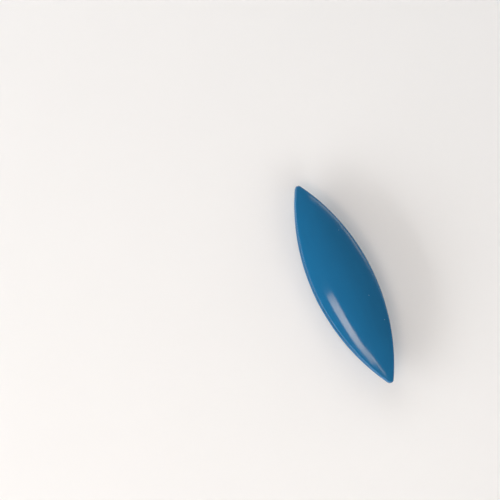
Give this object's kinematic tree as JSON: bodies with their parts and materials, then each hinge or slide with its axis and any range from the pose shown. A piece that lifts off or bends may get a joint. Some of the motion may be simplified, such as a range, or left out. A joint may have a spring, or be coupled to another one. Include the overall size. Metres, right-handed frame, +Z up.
{
  "type": "tatting shuttle",
  "caption": "Post-style tatting shuttle: cambered pointed blades that close at the tips, round a drilled post that holds the thread.",
  "frame": {"origin": "where the belly of the lower blade touches the table, under the middle of the shuttle", "axes": "+X along the shuttle towards one tip, +Y across it, +Z up through the post from the lower blade to the upper one"},
  "size_m": [0.07, 0.0198, 0.0125],
  "materials": {
    "blue_plastic": "injection moulded, gloss, mid blue"
  },
  "bodies": {
    "root": {"upper_blade": "blue_plastic", "lower_blade": "blue_plastic", "post": "blue_plastic"}
  },
  "joints": []
}
